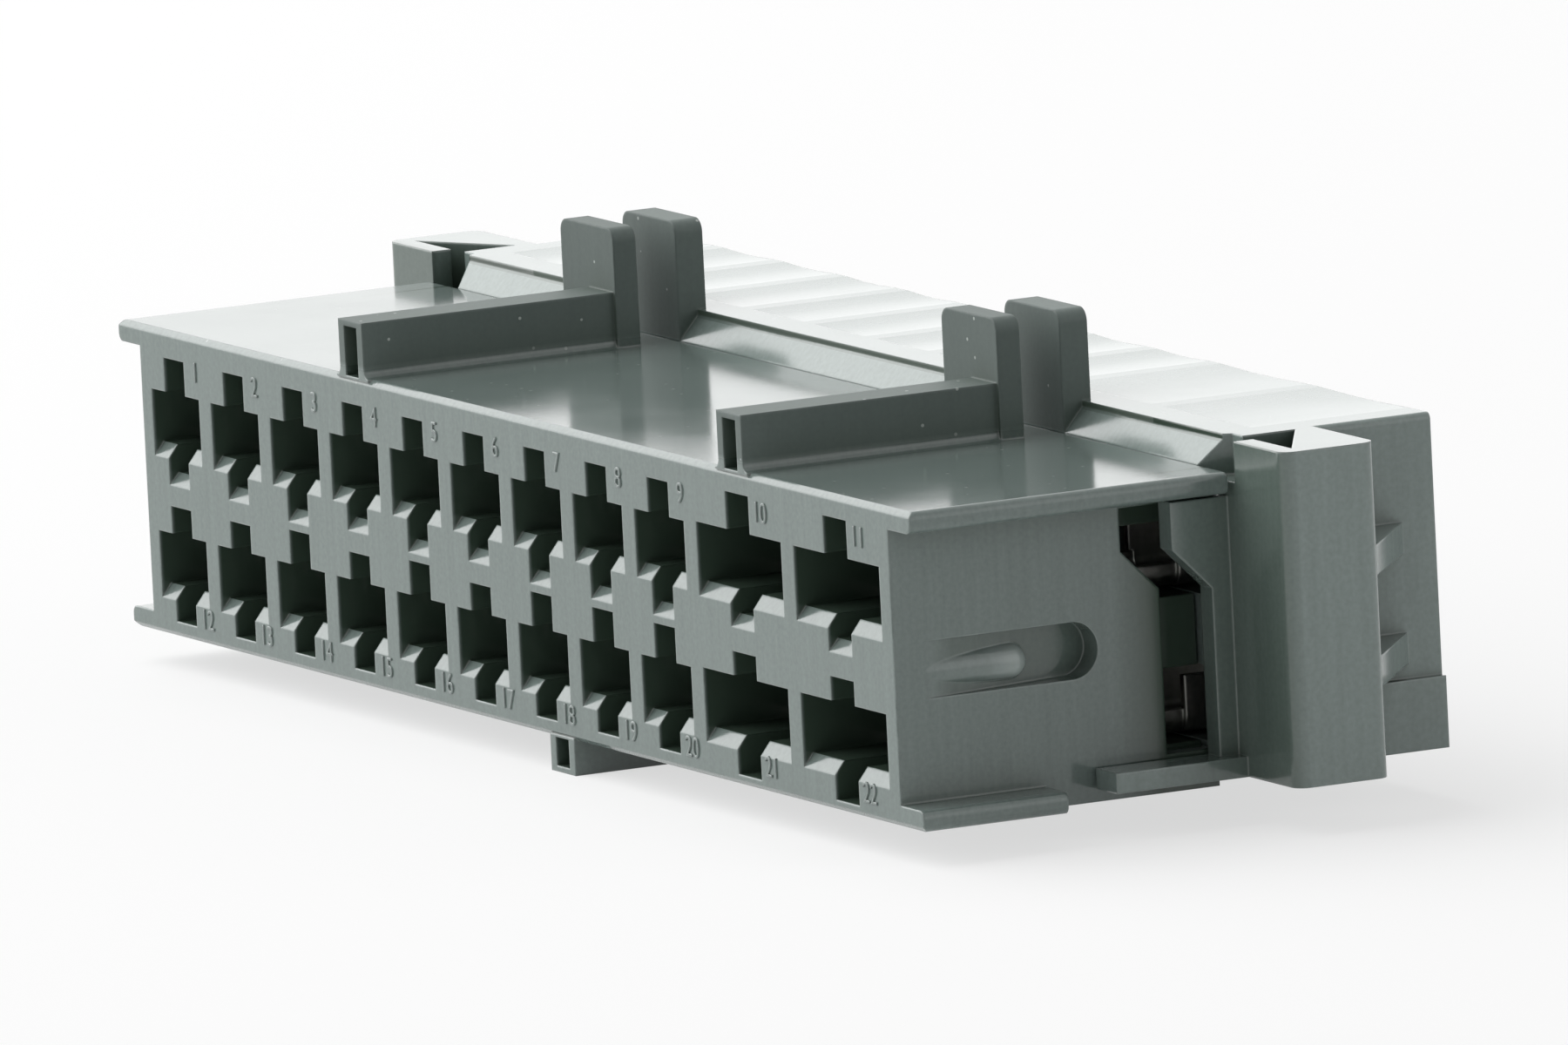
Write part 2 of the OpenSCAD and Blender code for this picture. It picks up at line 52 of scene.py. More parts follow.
# Linear colours of the moulded plastic, its edges lightened by wear and painted highlight, its dust and its
# painted shade
HOUSING_DARK = (0.134, 0.170, 0.158, 1)
HOUSING_LIGHT = (0.167, 0.209, 0.195, 1)
COVER_DARK = (0.176, 0.219, 0.205, 1)
COVER_LIGHT = (0.217, 0.268, 0.251, 1)
# Painted shade on the matte parts above the glossy top
MATTE_SHADE_TINT = (0.040, 0.056, 0.049, 1)
# Painted shade in recesses, cavities, gaps and on the lug fronts
PAINTED_SHADE = (0.048, 0.072, 0.054, 1)
# Lightening of edges, partly wear and partly painted highlight, and of the end bars, painted highlight
WEAR_AND_HIGHLIGHT_COLOUR = (0.33, 0.38, 0.365, 1)
DUST = (0.42, 0.45, 0.43, 1)

# Linear colours of the tin plating
TIN_DARK = (0.22, 0.215, 0.20, 1)
TIN_LIGHT = (0.40, 0.395, 0.375, 1)

# Patterns of a moulded skin: waves per metre along each axis, and detail
SKIN_PATTERNS = {
    "Grain": ((5200, 5200, 5200), 3.0),
    "Flow streaks": ((3400, 3400, 170), 2.0),
    "Slow waves": ((150, 190, 150), 2.0),
    "Scuffs": ((900, 900, 900), 4.0),
}
GRAIN_TONE = 0.6
STREAK_TONE = 0.4
GRAIN_HEIGHT = 0.3
WAVE_HEIGHT = 2.0

# Rounded edges, shade in recesses and specks of dust
EDGE_RADIUS = 0.13 * MM
EDGE_SAMPLES = 8
EDGE_FACING = (0.98, 0.72)
SHADE_REACH = 3.0 * MM
SHADE_SAMPLES = 12
SHADE_OPENNESS = (0.85, 0.15)
SPECK_CELLS_PER_M = 1400
SPECK_RADIUS = 0.09
SPECK_RARITY = 0.65

# How the plastic takes these: bands of a pattern, and what they turn into
TONE_BAND = (0.32, 0.68)
SCUFF_BAND = (0.40, 0.60)
SCUFF_WEAR_AND_HIGHLIGHT = (0.25, 0.9)
WAVE_BAND = (0.3, 0.7)
PLASTIC_ROUGHNESS = (0.10, 0.16)
PLASTIC_BUMP = 0.3
PLASTIC_RELIEF = 0.015 * MM
PLASTIC_IOR = 1.55
# How strongly the raised parts turn matte and take painted shade
MATTE_WEIGHT = 0.6
MATTE_FADE = 0.3 * MM
DUST_DROP = 0.6 * MM
DUST_FADE = 1.0 * MM

# The same for the tin plating
TIN_BAND = (0.3, 0.7)
TIN_ROUGHNESS = (0.28, 0.46)
TIN_BUMP = 0.2
TIN_RELIEF = 0.01 * MM

# Housing: its glossy top, and its walls, the mouths of its cavities and its latch windows, where shade is
# painted
HOUSING_TOP = 13.2 * MM
HOUSING_MIDDLE_Z = 7.15 * MM
INNER_HALF_HEIGHT = 5.65 * MM
END_FACE_X = 30.575 * MM
END_WALL = 0.7 * MM
WALL_BAND = 0.1 * MM
MOUTH_Y = (-10.95 * MM, -10.8 * MM)
FRONT_FACING = (-0.6, -0.2)
WINDOW_Y = -2.0 * MM
WINDOW_EDGE_Y = -0.3 * MM

# Recess in each end wall and the bar in it, with painted shade round the bar and a painted highlight on it
RECESS_LEVEL = 6.925 * MM
RECESS_HALF_HEIGHT = 1.1 * MM
RECESS_BACK = 1.3 * MM
RECESS_DEPTHS = (0.05 * MM, 0.2 * MM)
# Strength of the painted shade on the recess floor
RECESS_FLOOR_SHADE = 0.8
RECESS_EASE = 0.4
BAR_RADIUS = 0.65 * MM
BAR_SKIN = 0.02 * MM
BAR_LEVEL = 6.775 * MM
BAR_ROOT_Y = -9.7 * MM
BAR_FULL_Y = -7.2 * MM
BAR_BALL_Y = -6.0 * MM
BAR_BRIGHT_Y = -5.8 * MM
# Painted highlight on the bar, growing towards its tip
BAR_HIGHLIGHT = (0.2, 1.0)

# Cover: its glossy top, and the lip above its slope, its lugs and the feet of its uprights, where shade is
# painted
COVER_TOP = 14.3 * MM
LIP_Y = 2.95 * MM
LIP_BAND = 0.08 * MM
LIP_FACING = (-0.6, -0.9)
ARM_X = 30.6 * MM
ARM_Y = -1.5 * MM
LUG_FRONT_Y = 2.4 * MM
LUG_SIDE_Y = 2.9 * MM
# Strength of the painted shade on the lug fronts
LUG_SHADE = 0.6
FOOT_LEVEL = 13.05 * MM
FOOT_SPAN = 25.0 * MM
FOOT_BACK_Y = 3.35 * MM
FOOT_FACING = 0.5

# Raised numbers beside the cavities
NUMBER_SIZE = 1.1 * MM
NUMBER_RELIEF = 0.05 * MM
NUMBER_SUNK = 0.04 * MM
NUMBER_SHIFT = 1.85 * MM
NUMBER_RISE = 2.0 * MM
NUMBER_WELD = 0.001 * MM
TERMINAL_HALF = 1.25 * MM
COLUMNS = 11
ROWS = 2

# Studio: lamp sizes in metres, powers in watts
FLOOR_SIZE = 6.0
FLOOR_COLOUR = (0.9, 0.9, 0.9, 1)
FLOOR_GLOW = 0.65
ROOM_LIGHT = 0.27
WHITE = (1, 1, 1, 1)
LAMPS = {
    "key_softbox": {"place": (-0.38, -0.31, 0.46), "aim": (0, 0, 0),
                    "width": 1.1, "height": 1.1, "power": 8.6},
    "back_panel": {"place": (-1.06, 0.53, 0.30), "aim": (0, 0, 0.01),
                   "width": 0.6, "height": 0.6, "power": 0.715},
    "side_fill": {"place": (0.50, 0.45, 0.22), "aim": (0, 0, 0.01),
                  "width": 0.7, "height": 0.5, "power": 0.6},
}

# Sockets that a node only gives by number: a Mix node's colours and result, and what a loop makes
MIX_COLOURS = (6, 7)
MIX_RESULT = 2
LOOP_RESULT = 2


def new_group(name, inputs, outputs):
    """Shader node group with named float or vector sockets; returns it with its two end nodes."""
    group = bpy.data.node_groups.new(name, "ShaderNodeTree")
    for label, kind, value in inputs:
        sock = group.interface.new_socket(label, in_out="INPUT", socket_type=kind)
        sock.default_value = value
    for label, kind in outputs:
        group.interface.new_socket(label, in_out="OUTPUT", socket_type=kind)
    return group, group.nodes.new("NodeGroupInput"), group.nodes.new("NodeGroupOutput")


def noise(tree, coords, stretch, detail, label):
    """Noise texture on object coordinates, with its own scale along each axis."""
    mapping = tree.nodes.new("ShaderNodeMapping")
    mapping.inputs["Scale"].default_value = stretch
    tree.links.new(coords, mapping.inputs["Vector"])
    texture = tree.nodes.new("ShaderNodeTexNoise")
    texture.label = label
    texture.inputs["Scale"].default_value = 1.0
    texture.inputs["Detail"].default_value = detail
    tree.links.new(mapping.outputs["Vector"], texture.inputs["Vector"])
    return texture.outputs["Fac"]


def math_node(tree, operation, a, b):
    """Math node; each input is a socket or a number."""
    node = tree.nodes.new("ShaderNodeMath")
    node.operation = operation
    for sock, value in zip(node.inputs, (a, b)):
        if isinstance(value, (int, float)):
            sock.default_value = value
        else:
            tree.links.new(value, sock)
    return node.outputs["Value"]


def below(tree, value, limit):
    """Mask that is one where a value is less than a limit."""
    return math_node(tree, "LESS_THAN", value, limit)


def above(tree, value, limit):
    """Mask that is one where a value is greater than a limit."""
    return math_node(tree, "GREATER_THAN", value, limit)


def flipped(tree, mask):
    """Mask that is zero where another is one, and one where it is zero."""
    return math_node(tree, "SUBTRACT", 1.0, mask)


def away_from(tree, place, level):
    """Distance of a place from a level, to either side."""
    return math_node(tree, "ABSOLUTE", math_node(tree, "SUBTRACT", place, level), 0)


def product(tree, first, *others):
    """Product of masks or numbers."""
    for other in others:
        first = math_node(tree, "MULTIPLY", first, other)
    return first


def largest(tree, first, *others):
    """Largest of several masks."""
    for other in others:
        first = math_node(tree, "MAXIMUM", first, other)
    return first


def spread(tree, value, band, result=(0.0, 1.0)):
    """Map Range node from one band of values to another, clamped."""
    node = tree.nodes.new("ShaderNodeMapRange")
    for label, number in zip(("From Min", "From Max", "To Min", "To Max"), band + result):
        node.inputs[label].default_value = number
    tree.links.new(value, node.inputs["Value"])
    return node.outputs["Result"]


def mix_colour(tree, factor, first, second):
    """Mix node of two colours; each is a socket or a colour."""
    node = tree.nodes.new("ShaderNodeMix")
    node.data_type = "RGBA"
    tree.links.new(factor, node.inputs["Factor"])
    for place, value in zip(MIX_COLOURS, (first, second)):
        if isinstance(value, tuple):
            node.inputs[place].default_value = value
        else:
            tree.links.new(value, node.inputs[place])
    return node.outputs[MIX_RESULT]


def moulded_skin_group():
    """Fine grain, upright flow streaks, slow cloudy waves and scuffs of a moulded surface."""
    outputs = [(label, "NodeSocketFloat") for label in ("Tone", "Clouds", "Scuffs", "Height")]
    group, _, end = new_group("Moulded skin", (), outputs)
    coords = group.nodes.new("ShaderNodeTexCoord").outputs["Object"]
    grain, streaks, clouds, scuffs = (noise(group, coords, stretch, detail, label)
                                      for label, (stretch, detail) in SKIN_PATTERNS.items())
    tone = math_node(group, "ADD", product(group, grain, GRAIN_TONE),
                     product(group, streaks, STREAK_TONE))
    height = math_node(group, "ADD", product(group, grain, GRAIN_HEIGHT),
                       product(group, clouds, WAVE_HEIGHT))
    group.links.new(tone, end.inputs["Tone"])
    group.links.new(clouds, end.inputs["Clouds"])
    group.links.new(scuffs, end.inputs["Scuffs"])
    group.links.new(height, end.inputs["Height"])
    return group


def rounded_edges_group():
    """Normals rounded over the edges, and a mask that is one along them."""
    inputs = (("Radius", "NodeSocketFloat", EDGE_RADIUS),)
    outputs = (("Normal", "NodeSocketVector"), ("Edge", "NodeSocketFloat"))
    group, start, end = new_group("Rounded edges", inputs, outputs)
    bevel = group.nodes.new("ShaderNodeBevel")
    bevel.samples = EDGE_SAMPLES
    group.links.new(start.outputs["Radius"], bevel.inputs["Radius"])
    facing = group.nodes.new("ShaderNodeVectorMath")
    facing.operation = "DOT_PRODUCT"
    geometry = group.nodes.new("ShaderNodeNewGeometry")
    group.links.new(bevel.outputs["Normal"], facing.inputs[0])
    group.links.new(geometry.outputs["True Normal"], facing.inputs[1])
    group.links.new(bevel.outputs["Normal"], end.inputs["Normal"])
    group.links.new(spread(group, facing.outputs["Value"], EDGE_FACING), end.inputs["Edge"])
    return group


def recess_shade_group():
    """Mask of painted shade: one deep in a recess of the piece, and zero on open faces."""
    inputs = (("Reach", "NodeSocketFloat", SHADE_REACH),)
    group, start, end = new_group("Recess shade", inputs, (("Shade", "NodeSocketFloat"),))
    openness = group.nodes.new("ShaderNodeAmbientOcclusion")
    openness.samples = SHADE_SAMPLES
    openness.only_local = True
    group.links.new(start.outputs["Reach"], openness.inputs["Distance"])
    group.links.new(spread(group, openness.outputs["AO"], SHADE_OPENNESS), end.inputs["Shade"])
    return group


def dust_specks_group():
    """Mask of sparse bright specks of dust and chipped plastic."""
    inputs = (("Radius", "NodeSocketFloat", SPECK_RADIUS),)
    group, start, end = new_group("Dust specks", inputs, (("Specks", "NodeSocketFloat"),))
    cells = group.nodes.new("ShaderNodeTexVoronoi")
    cells.inputs["Scale"].default_value = SPECK_CELLS_PER_M
    coords = group.nodes.new("ShaderNodeTexCoord")
    group.links.new(coords.outputs["Object"], cells.inputs["Vector"])
    chance = group.nodes.new("ShaderNodeSeparateColor")
    group.links.new(cells.outputs["Color"], chance.inputs["Color"])
    near = below(group, cells.outputs["Distance"], start.outputs["Radius"])
    chosen = above(group, chance.outputs["Red"], SPECK_RARITY)
    group.links.new(product(group, near, chosen), end.inputs["Specks"])
    return group


def new_material(name):
    """Material with its node tree and its shader."""
    material = bpy.data.materials.new(name)
    material.use_nodes = True
    return material, material.node_tree, material.node_tree.nodes["Principled BSDF"]


def place_group(tree, group):
    """Node that stands for a node group in a material."""
    node = tree.nodes.new("ShaderNodeGroup")
    node.node_tree = group
    return node


def bump_over(tree, height, normal, strength, depth):
    """Bump of a height over normals that are already rounded."""
    node = tree.nodes.new("ShaderNodeBump")
    node.inputs["Strength"].default_value = strength
    node.inputs["Distance"].default_value = depth
    tree.links.new(height, node.inputs["Height"])
    tree.links.new(normal, node.inputs["Normal"])
    return node.outputs["Normal"]


def axes_of(tree, output):
    """The three axes of one output of the texture coordinates."""
    coords = tree.nodes.new("ShaderNodeTexCoord")
    axes = tree.nodes.new("ShaderNodeSeparateXYZ")
    tree.links.new(coords.outputs[output], axes.inputs["Vector"])
    return axes.outputs


def height_above(tree, level, fade):
    """Mask that rises from zero to one over a short way above a level of the piece."""
    return spread(tree, axes_of(tree, "Object")["Z"], (level, level + fade))


def end_depth(tree, place):
    """Depth of a place behind the face of the nearer end wall."""
    return math_node(tree, "SUBTRACT", END_FACE_X, away_from(tree, place["X"], 0.0))


def end_recess(tree, place):
    """Mask of the recess in each end wall."""
    return product(tree, below(tree, away_from(tree, place["Z"], RECESS_LEVEL), RECESS_HALF_HEIGHT),
                   below(tree, place["Y"], WINDOW_Y),
                   below(tree, end_depth(tree, place), RECESS_BACK))


def end_bar(tree, place):
    """Mask of the round bar that stands in each end recess, fading out towards its root."""
    inward = math_node(tree, "SUBTRACT", end_depth(tree, place), BAR_RADIUS)
    rise = math_node(tree, "SUBTRACT", place["Z"], BAR_LEVEL)
    past_ball = largest(tree, math_node(tree, "SUBTRACT", place["Y"], BAR_BALL_Y), 0.0)
    square = 0.0
    for way in (inward, rise, past_ball):
        square = math_node(tree, "ADD", product(tree, way, way), square)
    return product(tree, below(tree, square, (BAR_RADIUS + BAR_SKIN) ** 2),
                   spread(tree, place["Y"], (BAR_ROOT_Y, BAR_FULL_Y)))


def cavity_painted_shade(tree):
    """Mask of painted shade on the housing's inner walls, and a fainter one in the recesses in its ends."""
    place, facing = axes_of(tree, "Object"), axes_of(tree, "Normal")
    depth, recess = end_depth(tree, place), end_recess(tree, place)
    recess_floor = product(tree, recess, spread(tree, depth, RECESS_DEPTHS, (0.0, RECESS_FLOOR_SHADE)))
    chambers = product(tree, flipped(tree, recess), above(tree, depth, END_WALL))
    return product(tree, math_node(tree, "ADD", recess_floor, chambers),
                   spread(tree, facing["Y"], FRONT_FACING),
                   spread(tree, place["Y"], MOUTH_Y),
                   below(tree, away_from(tree, place["Z"], HOUSING_MIDDLE_Z), INNER_HALF_HEIGHT))


def window_painted_shade(tree):
    """Mask of painted shade on the end walls, in front of the latch windows."""
    place = axes_of(tree, "Object")
    on_wall = below(tree, away_from(tree, end_depth(tree, place), 0.0), WALL_BAND)
    return product(tree, on_wall, spread(tree, place["Y"], (WINDOW_Y, WINDOW_EDGE_Y)))


def bar_painted_highlight(tree):
    """Mask of the bar in each end recess, with a painted highlight that grows towards its tip."""
    place = axes_of(tree, "Object")
    return product(tree, end_bar(tree, place),
                   spread(tree, place["Y"], (BAR_FULL_Y, BAR_BRIGHT_Y), BAR_HIGHLIGHT))


def open_recess(tree):
    """Mask that keeps the shade off the bar in each end recess and eases it round the bar."""
    place = axes_of(tree, "Object")
    return largest(tree, end_bar(tree, place), product(tree, end_recess(tree, place), RECESS_EASE))


def shaded_lip(tree):
    """Mask of painted shade on the upright lip above the cover's slope."""
    place, facing = axes_of(tree, "Object"), axes_of(tree, "Normal")
    near = below(tree, away_from(tree, place["Y"], LIP_Y), LIP_BAND)
    return product(tree, near, spread(tree, facing["Y"], LIP_FACING))


def lug_painted_shade(tree):
    """Mask of painted shade on the latch arms and the fronts of the lugs."""
    place = axes_of(tree, "Object")
    return product(tree, above(tree, away_from(tree, place["X"], 0.0), ARM_X),
                   spread(tree, place["Y"], (ARM_Y, LUG_FRONT_Y), (0.0, LUG_SHADE)),
                   spread(tree, place["Y"], (LUG_FRONT_Y, LUG_SIDE_Y), (1.0, 0.0)))


def upright_feet(tree):
    """Mask of the steep faces at the feet of the cover's uprights, made matte and darkened with painted
    shade.
    """
    place, facing = axes_of(tree, "Object"), axes_of(tree, "Normal")
    return product(tree, below(tree, away_from(tree, place["X"], 0.0), FOOT_SPAN),
                   below(tree, place["Y"], FOOT_BACK_Y),
                   above(tree, place["Z"], FOOT_LEVEL),
                   below(tree, away_from(tree, facing["Z"], 0.0), FOOT_FACING))


def moulded_plastic(name, dark, light, glossy_top, groups, shades, matte_shades=(), rubs_and_highlights=(), opens=()):
    """Glossy grey plastic with grain, edges lightened by wear and painted highlight, dust, painted shade in
    recesses and matte parts above its top that are darkened with painted shade.

    Each of the last four holds functions that make a mask: where shade is painted as well, where it is
    matte and darkened with painted shade, where painted highlight lightens it, and where the painted shade
    of a recess is taken off again.
    """
    material, tree, shader = new_material(name)
    skin, edges, recess, specks = (place_group(tree, group) for group in groups)
    body = mix_colour(tree, spread(tree, skin.outputs["Tone"], TONE_BAND), dark, light)
    # Edges and the end bars are lightened: partly wear, partly painted highlight
    scuffs = spread(tree, skin.outputs["Scuffs"], SCUFF_BAND, SCUFF_WEAR_AND_HIGHLIGHT)
    edge_wear_and_highlight_mask = product(tree, edges.outputs["Edge"], scuffs)
    wear_and_highlight_mask = largest(tree, edge_wear_and_highlight_mask, *(mask(tree) for mask in rubs_and_highlights))
    edges_lightened = mix_colour(tree, wear_and_highlight_mask, body, WEAR_AND_HIGHLIGHT_COLOUR)
    # Parts above the glossy top are matte and darkened with painted shade
    raised = height_above(tree, glossy_top, MATTE_FADE)
    matte_and_shade = product(tree, largest(tree, raised, *(mask(tree) for mask in matte_shades)), MATTE_WEIGHT)
    matte_shaded = mix_colour(tree, matte_and_shade, edges_lightened, MATTE_SHADE_TINT)
    upper = height_above(tree, glossy_top - DUST_DROP, DUST_FADE)
    dusty = mix_colour(tree, product(tree, specks.outputs["Specks"], upper), matte_shaded, DUST)
    # Painted shade in recesses, cavities, gaps and on the lug fronts
    shade = largest(tree, recess.outputs["Shade"], *(mask(tree) for mask in shades))
    shade = product(tree, shade, *(flipped(tree, mask(tree)) for mask in opens))
    tree.links.new(mix_colour(tree, shade, dusty, PAINTED_SHADE), shader.inputs["Base Color"])
    gloss = spread(tree, skin.outputs["Clouds"], WAVE_BAND, PLASTIC_ROUGHNESS)
    tree.links.new(largest(tree, gloss, matte_and_shade), shader.inputs["Roughness"])
    normal = bump_over(tree, skin.outputs["Height"], edges.outputs["Normal"], PLASTIC_BUMP, PLASTIC_RELIEF)
    tree.links.new(normal, shader.inputs["Normal"])
    shader.inputs["IOR"].default_value = PLASTIC_IOR
    return material


def tinned_metal(name, groups):
    """Dull tin plating on folded sheet, with drawn streaks, bright edges and painted shade in its folds."""
    material, tree, shader = new_material(name)
    skin, edges, recess = (place_group(tree, group) for group in groups)
    body = mix_colour(tree, skin.outputs["Tone"], TIN_DARK, TIN_LIGHT)
    edges_lightened = mix_colour(tree, edges.outputs["Edge"], body, TIN_LIGHT)
    # Painted shade in the folds
    shaded = mix_colour(tree, recess.outputs["Shade"], edges_lightened, PAINTED_SHADE)
    tree.links.new(shaded, shader.inputs["Base Color"])
    tree.links.new(spread(tree, skin.outputs["Tone"], TIN_BAND, TIN_ROUGHNESS), shader.inputs["Roughness"])
    normal = bump_over(tree, skin.outputs["Height"], edges.outputs["Normal"], TIN_BUMP, TIN_RELIEF)
    tree.links.new(normal, shader.inputs["Normal"])
    shader.inputs["Metallic"].default_value = 1.0
    return material


def seen_ray(tree):
    """One for rays from the camera or from gloss and glass, so that reflections show the white room too."""
    path = tree.nodes.new("ShaderNodeLightPath")
    return largest(tree, path.outputs["Is Camera Ray"], path.outputs["Is Glossy Ray"],
                   path.outputs["Is Transmission Ray"])


def paper_floor():
    """White paper that keeps the part's soft shadow and looks white where nothing shades it."""
    material, tree, _ = new_material("white_paper")
    tree.nodes.clear()
    end = tree.nodes.new("ShaderNodeOutputMaterial")
    paper = tree.nodes.new("ShaderNodeBsdfDiffuse")
    paper.inputs["Color"].default_value = FLOOR_COLOUR
    glow = tree.nodes.new("ShaderNodeEmission")
    glow.inputs["Color"].default_value = WHITE
    mix = tree.nodes.new("ShaderNodeMixShader")
    tree.links.new(product(tree, seen_ray(tree), FLOOR_GLOW), mix.inputs["Fac"])
    tree.links.new(paper.outputs["BSDF"], mix.inputs[1])
    tree.links.new(glow.outputs["Emission"], mix.inputs[2])
    tree.links.new(mix.outputs["Shader"], end.inputs["Surface"])
    return material


def new_mesh_object(name, points, faces):
    """Object in the scene with a mesh of the given points and faces."""
    mesh = bpy.data.meshes.new(name)
    mesh.from_pydata(points, [], faces)
    piece = bpy.data.objects.new(name, mesh)
    bpy.context.scene.collection.objects.link(piece)
    return piece


def dress_frame(housing_plastic, cover_plastic, tin):
    """Gives every carried-over node its finish."""
    for name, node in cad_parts.items():
        finish = {"contact_housing": housing_plastic, "rear_cover": cover_plastic}.get(name, tin)
        node.data.materials.clear()
        node.data.materials.append(finish)


def number_places():
    """Middle of each raised number's back: beside the outer notch of its cavity, in the mating face."""
    face_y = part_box("contact_housing")[0].y
    places = []
    for number in range(1, ROWS * COLUMNS + 1):
        low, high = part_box(f"terminal_{number:02d}")
        upper = number <= COLUMNS
        x = (low.x + high.x) / 2 + NUMBER_SHIFT
        row_z = high.z - TERMINAL_HALF
        places.append((x, face_y + NUMBER_SUNK, row_z + (NUMBER_RISE if upper else -NUMBER_RISE)))
    return places


def raised_numbers_tree():
    """Geometry nodes that set one raised number on each point, counting from one."""
    tree = bpy.data.node_groups.new("Raised numbers", "GeometryNodeTree")
    face = tree.interface
    face.new_socket("Geometry", in_out="INPUT", socket_type="NodeSocketGeometry")
    face.new_socket("Size", in_out="INPUT", socket_type="NodeSocketFloat")
    face.new_socket("Thickness", in_out="INPUT", socket_type="NodeSocketFloat")
    face.new_socket("Finish", in_out="INPUT", socket_type="NodeSocketMaterial")
    face.new_socket("Geometry", in_out="OUTPUT", socket_type="NodeSocketGeometry")
    nodes, link = tree.nodes, tree.links.new
    start, end = nodes.new("NodeGroupInput"), nodes.new("NodeGroupOutput")
    loop_start = nodes.new("GeometryNodeForeachGeometryElementInput")
    loop_end = nodes.new("GeometryNodeForeachGeometryElementOutput")
    loop_start.pair_with_output(loop_end)
    loop_end.input_items.new("VECTOR", "Place")
    link(start.outputs["Geometry"], loop_start.inputs["Geometry"])
    link(nodes.new("GeometryNodeInputPosition").outputs["Position"], loop_start.inputs["Place"])
    count = nodes.new("ShaderNodeMath")
    count.operation = "ADD"
    count.inputs[1].default_value = 1
    link(loop_start.outputs["Index"], count.inputs[0])
    words = nodes.new("FunctionNodeValueToString")
    link(count.outputs["Value"], words.inputs["Value"])
    text = nodes.new("GeometryNodeStringToCurves")
    text.align_x = "CENTER"
    text.align_y = "MIDDLE"
    link(words.outputs["String"], text.inputs["String"])
    link(start.outputs["Size"], text.inputs["Size"])
    outline = nodes.new("GeometryNodeRealizeInstances")
    link(text.outputs["Curve Instances"], outline.inputs["Geometry"])
    filled = nodes.new("GeometryNodeFillCurve")
    link(outline.outputs["Geometry"], filled.inputs["Curve"])
    raised = nodes.new("GeometryNodeExtrudeMesh")
    raised.inputs["Individual"].default_value = False
    link(filled.outputs["Mesh"], raised.inputs["Mesh"])
    link(start.outputs["Thickness"], raised.inputs["Offset Scale"])
    base = nodes.new("GeometryNodeFlipFaces")
    link(filled.outputs["Mesh"], base.inputs["Mesh"])
    closed = nodes.new("GeometryNodeJoinGeometry")
    link(base.outputs["Mesh"], closed.inputs["Geometry"])
    link(raised.outputs["Mesh"], closed.inputs["Geometry"])
    welded = nodes.new("GeometryNodeMergeByDistance")
    welded.inputs["Distance"].default_value = NUMBER_WELD
    link(closed.outputs["Geometry"], welded.inputs["Geometry"])
    stood = nodes.new("GeometryNodeTransform")
    stood.inputs["Rotation"].default_value = (math.pi / 2, 0, 0)
    link(welded.outputs["Geometry"], stood.inputs["Geometry"])
    link(loop_start.outputs["Place"], stood.inputs["Translation"])
    link(stood.outputs["Geometry"], loop_end.inputs["Geometry"])
    single = nodes.new("GeometryNodeRealizeInstances")
    link(loop_end.outputs[LOOP_RESULT], single.inputs["Geometry"])
    finish = nodes.new("GeometryNodeSetMaterial")
    link(single.outputs["Geometry"], finish.inputs["Geometry"])
    link(start.outputs["Finish"], finish.inputs["Material"])
    link(finish.outputs["Geometry"], end.inputs["Geometry"])
    return tree


def set_input(modifier, tree, label, value):
    """Sets a geometry nodes modifier's input by its socket's identifier."""
    for item in tree.interface.items_tree:
        if item.in_out == "INPUT" and item.name == label:
            modifier[item.identifier] = value


def bake_to_mesh(piece):
    """Turns the evaluated object into a plain mesh and takes its modifiers off."""
    bpy.context.view_layer.update()
    evaluated = piece.evaluated_get(bpy.context.evaluated_depsgraph_get())
    mesh = bpy.data.meshes.new_from_object(evaluated)
    piece.modifiers.clear()
    piece.data = mesh


def raised_numbers(plastic):
    """Plain position numbers on the mating face, one beside each cavity."""
    piece = new_mesh_object("position_numbers", number_places(), [])
    tree = raised_numbers_tree()
    modifier = piece.modifiers.new("Raised numbers", "NODES")
    modifier.node_group = tree
    set_input(modifier, tree, "Size", NUMBER_SIZE)
    set_input(modifier, tree, "Thickness", NUMBER_RELIEF + NUMBER_SUNK)
    set_input(modifier, tree, "Finish", plastic)
    bake_to_mesh(piece)
    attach(piece, "root")


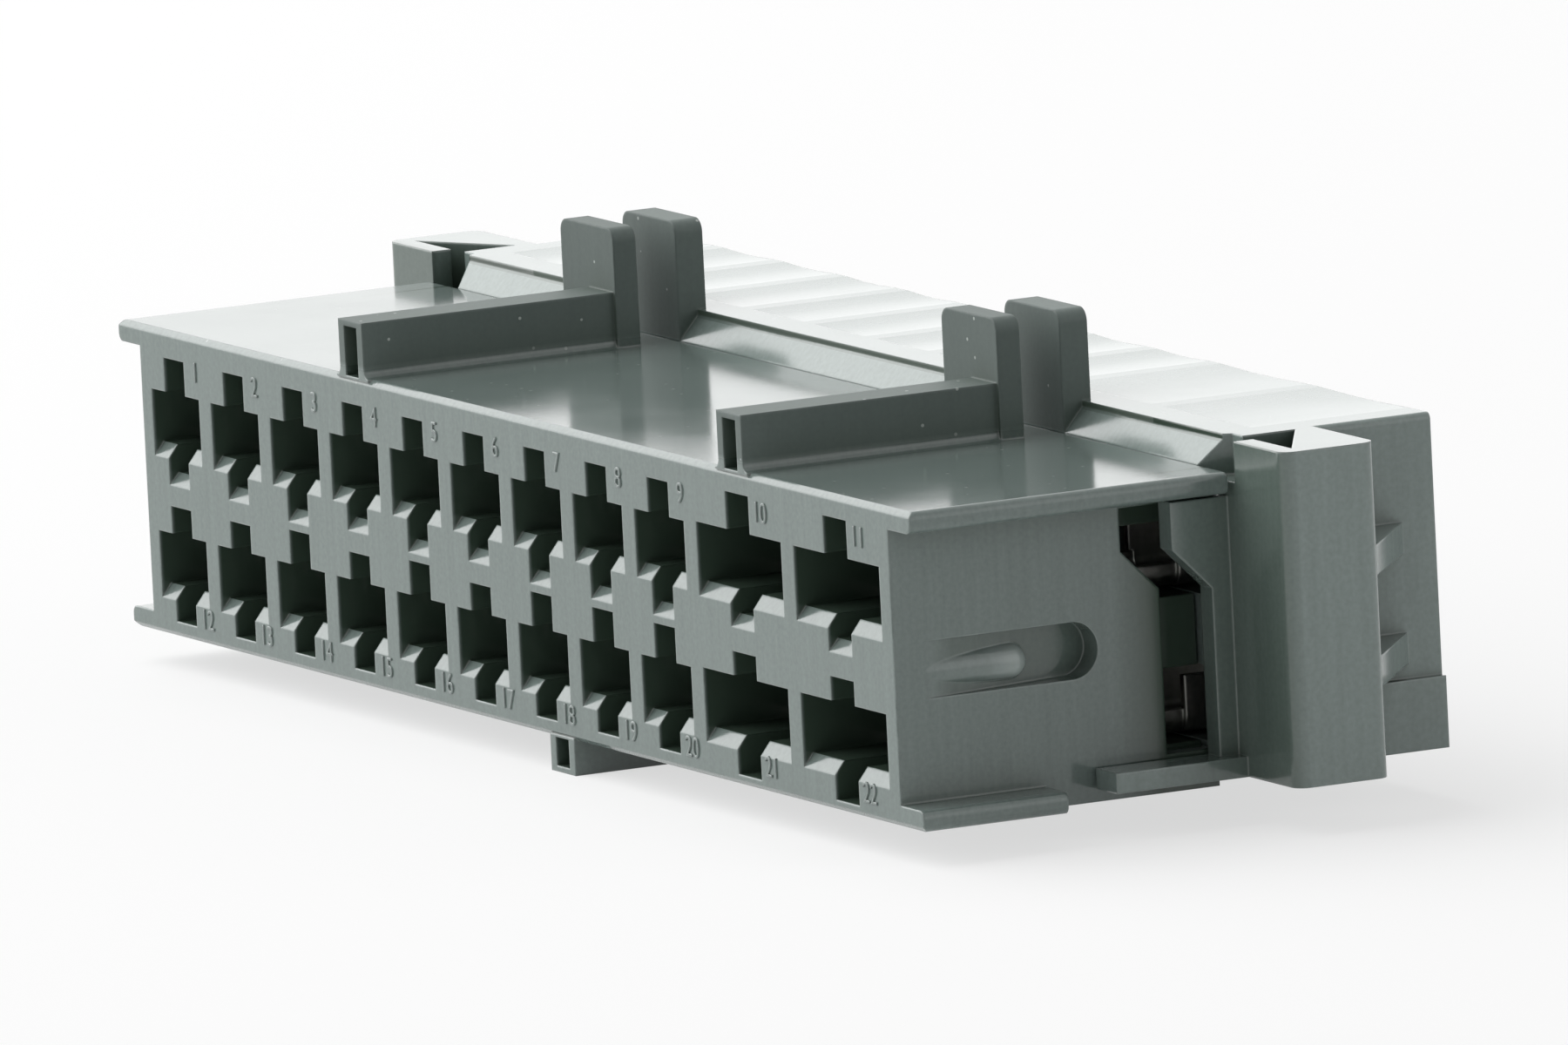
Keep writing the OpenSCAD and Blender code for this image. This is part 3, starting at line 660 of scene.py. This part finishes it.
def add_camera():
    """Camera at the photograph's viewing angle."""
    data = bpy.data.cameras.new("photo_camera")
    data.lens = CAMERA_LENS_MM
    data.sensor_width = SENSOR_WIDTH_MM
    data.clip_end = CAMERA_REACH
    level = math.cos(CAMERA_ELEVATION)
    away = Vector((math.sin(CAMERA_AZIMUTH) * level, -math.cos(CAMERA_AZIMUTH) * level,
                   math.sin(CAMERA_ELEVATION)))
    camera = bpy.data.objects.new("photo_camera", data)
    turn = (-away).to_track_quat("-Z", "Y").to_matrix() @ Matrix.Rotation(-CAMERA_ROLL, 3, "Z")
    camera.matrix_world = Matrix.Translation(CAMERA_AIM + away * CAMERA_DISTANCE) @ turn.to_4x4()
    bpy.context.scene.collection.objects.link(camera)
    bpy.context.scene.camera = camera


def soft_lamp(name, place, aim, width, height, power):
    """Large rectangular lamp that faces a point."""
    data = bpy.data.lights.new(name, "AREA")
    data.shape = "RECTANGLE"
    data.size = width
    data.size_y = height
    data.energy = power
    lamp = bpy.data.objects.new(name, data)
    lamp.location = place
    lamp.rotation_euler = (Vector(aim) - Vector(place)).to_track_quat("-Z", "Y").to_euler()
    bpy.context.scene.collection.objects.link(lamp)


def add_studio():
    """White paper floor, white room and three soft lamps."""
    half = FLOOR_SIZE / 2
    corners = [(-half, -half, 0), (half, -half, 0), (half, half, 0), (-half, half, 0)]
    floor = new_mesh_object("floor", corners, [(0, 1, 2, 3)])
    floor.data.materials.append(paper_floor())
    world = bpy.data.worlds.new("white_room")
    bpy.context.scene.world = world
    world.use_nodes = True
    tree = world.node_tree
    room = tree.nodes["Background"]
    room.inputs["Color"].default_value = WHITE
    tree.links.new(spread(tree, seen_ray(tree), (0.0, 1.0), (ROOM_LIGHT, 1.0)), room.inputs["Strength"])
    for name, lamp in LAMPS.items():
        soft_lamp(name, **lamp)


metal_groups = (moulded_skin_group(), rounded_edges_group(), recess_shade_group())
plastic_groups = metal_groups + (dust_specks_group(),)
# Housing: painted shade in its cavities and by its latch windows, painted highlight on its end bars
housing_plastic = moulded_plastic("housing_plastic", HOUSING_DARK, HOUSING_LIGHT, HOUSING_TOP,
                                  plastic_groups, shades=(cavity_painted_shade, window_painted_shade),
                                  rubs_and_highlights=(bar_painted_highlight,), opens=(open_recess,))
# Cover: painted shade on its lip and lug fronts; its upright feet matte and darkened with painted shade
cover_plastic = moulded_plastic("cover_plastic", COVER_DARK, COVER_LIGHT, COVER_TOP,
                                plastic_groups, shades=(shaded_lip, lug_painted_shade),
                                matte_shades=(upright_feet,))
tin = tinned_metal("tinned_brass", metal_groups)
dress_frame(housing_plastic, cover_plastic, tin)
raised_numbers(housing_plastic)
add_camera()
add_studio()
bpy.context.scene.view_settings.view_transform = "Standard"
